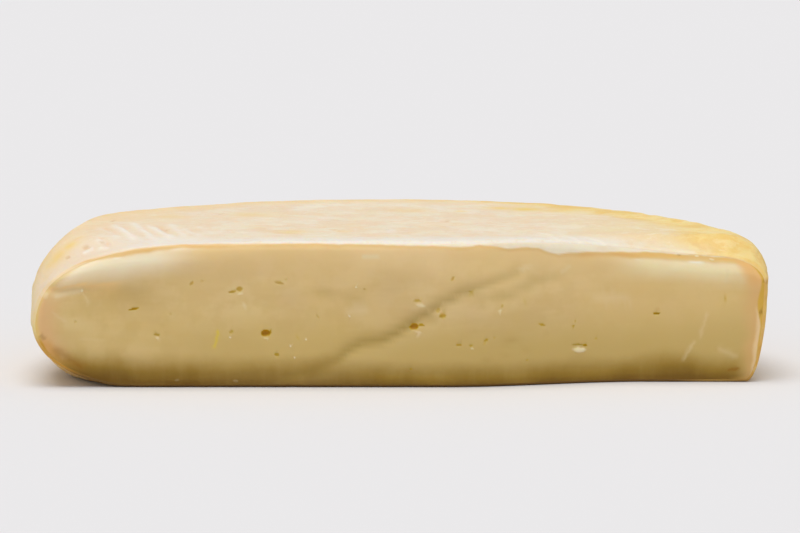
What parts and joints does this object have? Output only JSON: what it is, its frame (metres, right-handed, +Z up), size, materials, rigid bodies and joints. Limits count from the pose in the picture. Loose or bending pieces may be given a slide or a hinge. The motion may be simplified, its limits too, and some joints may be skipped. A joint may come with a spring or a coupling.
{
  "type": "half munster cheese",
  "caption": "Half wheel of soft washed-rind cheese, cut straight across, with pale paste, fine eyes, a crease in the cut and a wrinkled rind",
  "frame": {"origin": "middle of the footprint, on the plane that the cheese rests on", "axes": "+X along the cut from its rounded end to its squarer end, +Y from the cut face to the back of the rind, +Z up"},
  "size_m": [0.1882, 0.1114, 0.0371],
  "materials": {
    "cheese_paste": "soft moist paste with a pale washed rind"
  },
  "bodies": {
    "root": {"cheese": "cheese_paste"}
  },
  "joints": []
}
